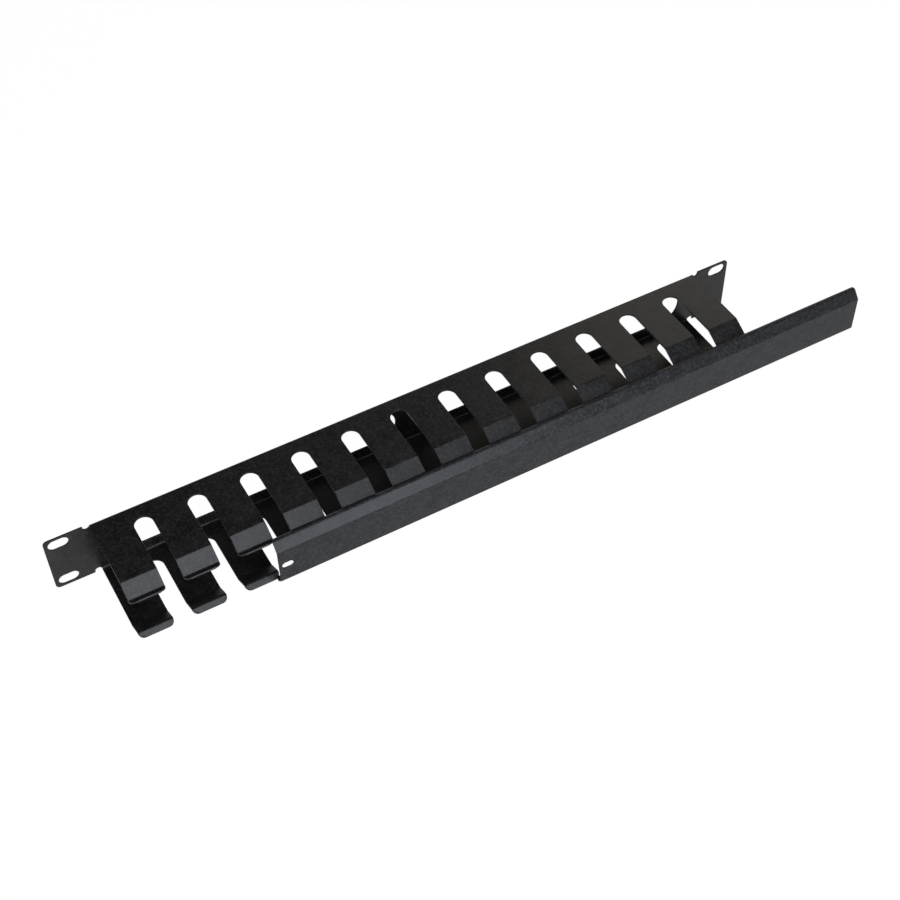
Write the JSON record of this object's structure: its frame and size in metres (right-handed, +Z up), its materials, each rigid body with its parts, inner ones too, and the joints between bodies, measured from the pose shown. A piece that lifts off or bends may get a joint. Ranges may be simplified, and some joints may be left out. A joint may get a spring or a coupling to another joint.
{
  "type": "horizontal cable manager",
  "caption": "Folded steel rack duct with slotted upper and lower webs, grooved finger ends and slotted ears, closed by a bevelled cover that hooks over the finger edges and slides along them.",
  "frame": {"origin": "centre of the rack screw pattern, on the mounting plane, which is the rear face of the back plate and ears", "axes": "+X to the right along the rack, +Y to the rear into the rack, +Z up"},
  "size_m": [0.5397, 0.0696, 0.0424],
  "materials": {
    "duct_coat": "black fine-texture powder coat on folded steel",
    "cover_coat": "black fine-texture powder coat on folded steel"
  },
  "bodies": {
    "duct": {"duct": "duct_coat"},
    "cover": {"cover": "cover_coat"}
  },
  "joints": [
    {"name": "cover_slide", "type": "slide", "parent": "duct", "child": "cover", "axis": [1, 0, 0], "range_m": [-0.2864, 0.2]}
  ]
}
